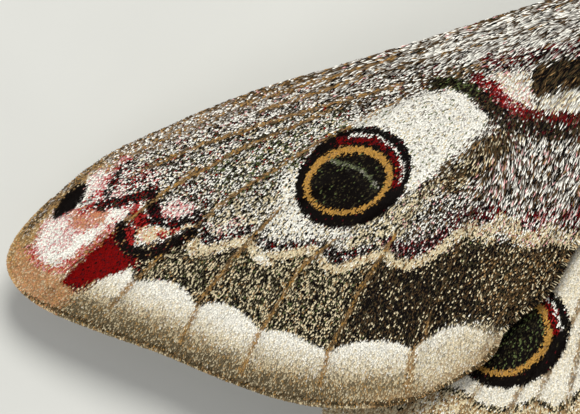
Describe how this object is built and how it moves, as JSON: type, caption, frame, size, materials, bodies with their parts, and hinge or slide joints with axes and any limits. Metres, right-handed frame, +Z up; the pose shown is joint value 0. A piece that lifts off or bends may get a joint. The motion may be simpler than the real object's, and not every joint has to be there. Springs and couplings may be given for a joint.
{
  "type": "emperor moth",
  "caption": "Still life-size emperor moth, a female at rest on the ground with her wings spread flat, her front wings over the back ones and her short feelers forward.",
  "frame": {"origin": "on the floor under the middle of the moth's box", "axes": "+Z up; the head points to -Y and the tail to +Y; +X is the moth's left, along its wingspan"},
  "size_m": [0.0752, 0.0406, 0.0109],
  "materials": {
    "coat": "woolly grey and brown hair",
    "abdomen": "short grey hair in pale bands",
    "forewing": "matt scales in grey, white, brown, ochre and crimson",
    "hindwing": "matt cream and brown scales",
    "eye": "dark faceted eye",
    "antenna": "matt brown",
    "leg": "short brown hair"
  },
  "bodies": {
    "root": {"head": "coat", "eye_left": "eye", "eye_right": "eye", "antenna_left": "antenna", "antenna_right": "antenna", "thorax": "coat", "abdomen": "abdomen", "forewing_left": "forewing", "forewing_right": "forewing", "hindwing_left": "hindwing", "hindwing_right": "hindwing", "leg_fore_left": "leg", "leg_fore_right": "leg", "leg_mid_left": "leg", "leg_mid_right": "leg", "leg_hind_left": "leg", "leg_hind_right": "leg"}
  },
  "joints": []
}
